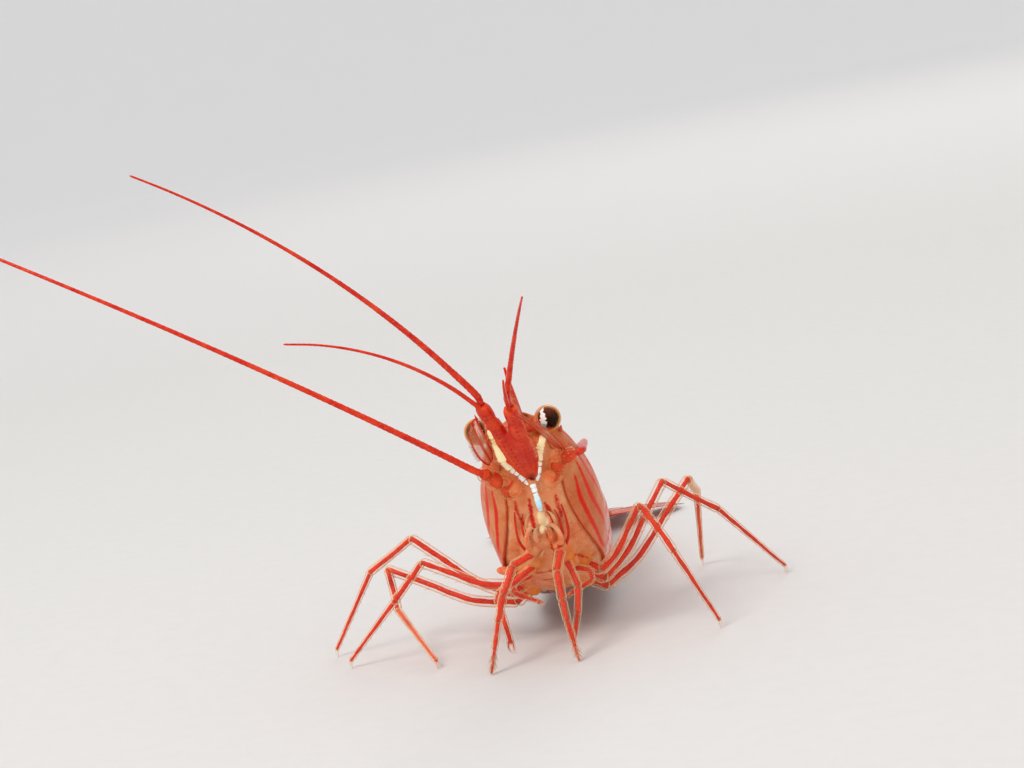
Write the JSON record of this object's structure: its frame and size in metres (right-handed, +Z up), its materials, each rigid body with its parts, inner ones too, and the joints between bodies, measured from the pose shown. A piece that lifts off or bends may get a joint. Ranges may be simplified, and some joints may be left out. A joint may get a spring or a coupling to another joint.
{
  "type": "cleaner shrimp",
  "caption": "Life-size still cleaner shrimp standing with its head raised, with stalked eyes, long feelers, slender legs and a tail fan.",
  "frame": {"origin": "on the floor under the middle of the animal's whole outline, feelers included", "axes": "-Y ahead, where the animal faces; +X to the animal's left; +Z up"},
  "size_m": [0.0462, 0.0468, 0.0307],
  "materials": {
    "shell": "thin translucent shell, peach with vermilion stripes",
    "underside": "translucent peach flesh under a thin cuticle",
    "limb": "clear cuticle over a red core",
    "feeler": "red, ringed, satin",
    "scale": "clear blade with a dark red edge",
    "fin": "translucent blade with red lines and a fringe of hairs",
    "eye": "dark glossy ball under a clear cornea, with a silver crescent"
  },
  "bodies": {
    "root": {"antenna_left_far": "feeler", "antenna_left_near": "feeler", "antenna_right_far": "feeler", "antenna_right_near": "feeler", "antenna_scale_left": "scale", "antenna_scale_right": "scale", "antenna_stalk_left": "limb", "antenna_stalk_right": "limb", "antennule_inner_left": "feeler", "antennule_inner_right": "feeler", "antennule_outer_left": "feeler", "antennule_outer_right": "feeler", "antennule_stalk_left": "limb", "antennule_stalk_right": "limb", "carapace": "shell", "cheliped1_left": "limb", "cheliped1_right": "limb", "cheliped2_left": "limb", "cheliped2_right": "limb", "eye_left": "eye", "eye_right": "eye", "eyestalk_left": "limb", "eyestalk_right": "limb", "leg3_left_lower": "limb", "leg3_left_upper": "limb", "leg3_right_lower": "limb", "leg3_right_upper": "limb", "leg4_left_lower": "limb", "leg4_left_upper": "limb", "leg4_right_lower": "limb", "leg4_right_upper": "limb", "leg5_left_lower": "limb", "leg5_left_upper": "limb", "leg5_right_lower": "limb", "leg5_right_upper": "limb", "maxilliped_left": "limb", "maxilliped_right": "limb", "pleopod_1_left": "fin", "pleopod_1_right": "fin", "pleopod_2_left": "fin", "pleopod_2_right": "fin", "pleopod_3_left": "fin", "pleopod_3_right": "fin", "pleopod_4_left": "fin", "pleopod_4_right": "fin", "pleopod_5_left": "fin", "pleopod_5_right": "fin", "somite_1": "shell", "somite_2": "shell", "somite_3": "shell", "somite_4": "shell", "somite_5": "shell", "somite_6": "shell", "telson": "shell", "underside": "underside", "uropod_inner_left": "fin", "uropod_inner_right": "fin", "uropod_outer_left": "fin", "uropod_outer_right": "fin"}
  },
  "joints": []
}
